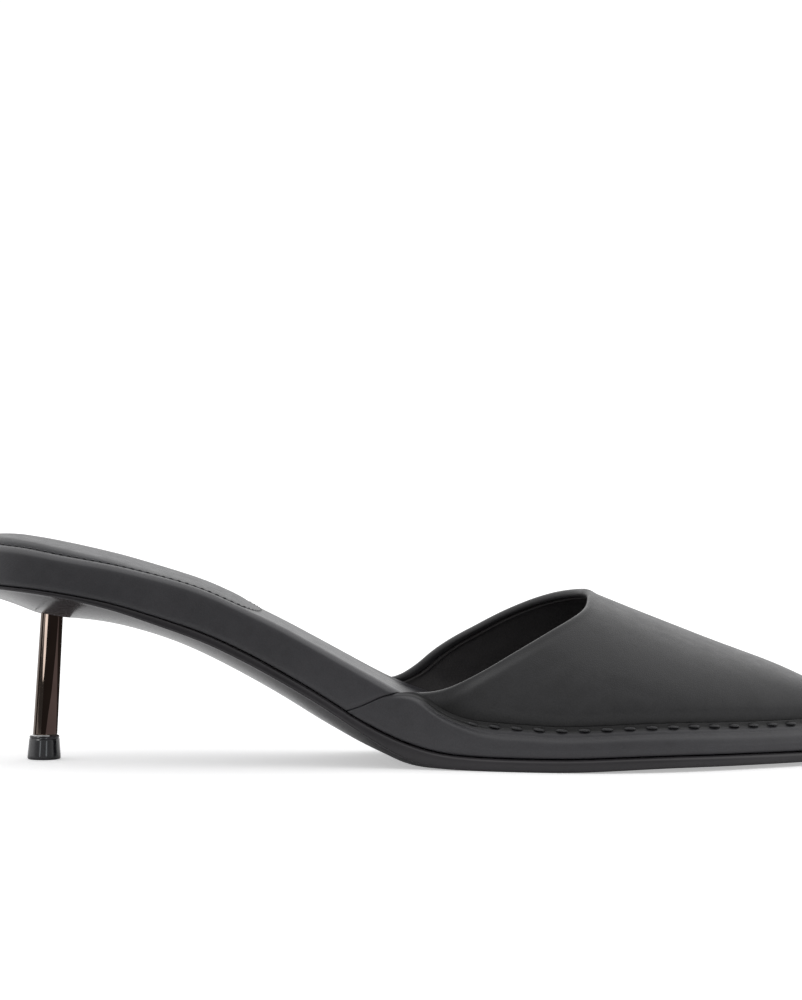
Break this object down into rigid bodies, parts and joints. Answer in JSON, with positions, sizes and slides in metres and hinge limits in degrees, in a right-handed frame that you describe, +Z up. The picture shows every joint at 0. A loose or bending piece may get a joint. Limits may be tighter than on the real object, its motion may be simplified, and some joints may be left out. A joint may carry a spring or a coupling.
{
  "type": "heeled shoe",
  "caption": "Right pointed-toe leather mule on a thin leaning kitten heel, open at the back, with a padded heel sock and a leather-wrapped footbed and rand.",
  "frame": {"origin": "bottom centre of the whole shoe's box, on the floor plane that the heel tip and the ball stand on", "axes": "+X to the toe, -Y to the outer (lateral) side, +Z up"},
  "size_m": [0.2644, 0.0832, 0.064],
  "materials": {
    "sole_edge": "black, smooth, glossy lacquered sole",
    "wrap_leather": "black smooth nappa, satin",
    "vamp_leather": "black smooth nappa with fine grain, satin",
    "sock_leather": "black smooth padded lining leather",
    "pin_metal": "black nickel mirror plate",
    "lift_plastic": "black glossy hard plastic"
  },
  "bodies": {
    "root": {"outsole": "sole_edge", "platform": "wrap_leather", "rand": "wrap_leather", "upper": "vamp_leather", "insole": "sock_leather", "heel_pin": "pin_metal", "top_lift": "lift_plastic"}
  },
  "joints": []
}
